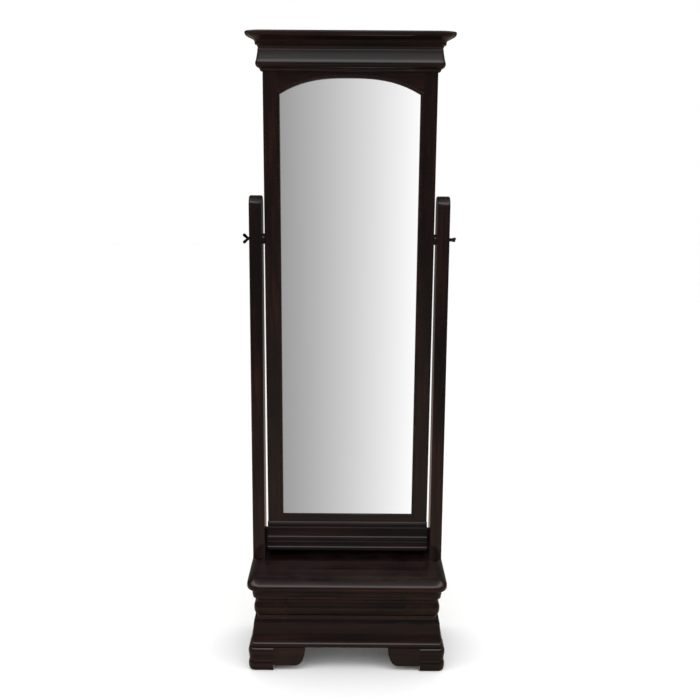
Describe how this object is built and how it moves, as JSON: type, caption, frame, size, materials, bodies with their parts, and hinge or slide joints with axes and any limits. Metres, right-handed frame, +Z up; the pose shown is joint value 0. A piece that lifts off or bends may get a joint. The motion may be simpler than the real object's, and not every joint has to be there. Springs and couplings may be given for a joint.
{
  "type": "cheval floor mirror",
  "caption": "Arched full-length mirror in a moulded wooden frame, tilting between posts on wing screws, over a base with bracket feet and a drawer.",
  "frame": {"origin": "on the floor, under the middle of the overall box", "axes": "+Z up; +X to the right as seen by someone facing the mirror; the mirror faces -Y"},
  "size_m": [0.6026, 0.3, 1.793],
  "materials": {
    "mahogany": "dark red-brown stain under satin to glossy lacquer",
    "carcass_wood": "unstained secondary wood, plain sanded",
    "silvered_glass": "silvered float glass",
    "hardboard": "smooth brown hardboard",
    "dark_bronze": "dark bronze, satin",
    "brass": "plain machined brass",
    "felt": "black felt disc"
  },
  "bodies": {
    "stand": {"base_top": "mahogany", "bed_moulding_front": "mahogany", "bed_moulding_left": "mahogany", "bed_moulding_right": "mahogany", "frieze_left": "mahogany", "frieze_right": "mahogany", "floor_board": "mahogany", "plinth_front": "mahogany", "plinth_left": "mahogany", "plinth_right": "mahogany", "plinth_back": "carcass_wood", "back_panel": "carcass_wood", "front_foot_left": "mahogany", "front_foot_right": "mahogany", "rear_foot_left": "mahogany", "rear_foot_right": "mahogany", "drawer_runner_left": "carcass_wood", "drawer_runner_right": "carcass_wood", "drawer_guide_left": "carcass_wood", "drawer_guide_right": "carcass_wood", "post_left": "mahogany", "post_right": "mahogany", "stretcher": "mahogany", "bumper_left": "felt", "bumper_right": "felt", "spacer_left": "mahogany", "spacer_right": "mahogany"},
    "mirror": {"stile_left": "mahogany", "stile_right": "mahogany", "top_rail": "mahogany", "bottom_rail": "mahogany", "foot_moulding": "mahogany", "sight_slip": "mahogany", "mirror_glass": "silvered_glass", "backing_board": "hardboard", "glass_strip_left": "carcass_wood", "glass_strip_right": "carcass_wood", "glass_strip_bottom": "carcass_wood", "glass_strip_top": "carcass_wood", "threaded_insert_left": "brass", "threaded_insert_right": "brass", "crown_core": "mahogany", "crown_bead_front": "mahogany", "crown_bead_left": "mahogany", "crown_bead_right": "mahogany", "crown_frieze_front": "mahogany", "crown_frieze_left": "mahogany", "crown_frieze_right": "mahogany", "cornice_front": "mahogany", "cornice_left": "mahogany", "cornice_right": "mahogany"},
    "drawer": {"drawer_front": "mahogany", "drawer_side_left": "carcass_wood", "drawer_side_right": "carcass_wood", "drawer_back": "carcass_wood", "drawer_bottom": "carcass_wood"},
    "left_wing_screw": {"wing_screw_left": "dark_bronze"},
    "right_wing_screw": {"wing_screw_right": "dark_bronze"}
  },
  "joints": [
    {"name": "mirror_tilt", "type": "hinge", "parent": "stand", "child": "mirror", "pos_m": [0, 0.033, 1.234], "axis": [-1, 0, 0], "range_deg": [0, 40]},
    {"name": "drawer_slide", "type": "slide", "parent": "stand", "child": "drawer", "axis": [0, -1, 0], "range_m": [0, 0.15]},
    {"name": "left_wing_screw_turn", "type": "hinge", "parent": "stand", "child": "left_wing_screw", "pos_m": [-0.2818, 0.033, 1.234], "axis": [1, 0, 0], "continuous": true},
    {"name": "right_wing_screw_turn", "type": "hinge", "parent": "stand", "child": "right_wing_screw", "pos_m": [0.2818, 0.033, 1.234], "axis": [1, 0, 0], "continuous": true}
  ]
}
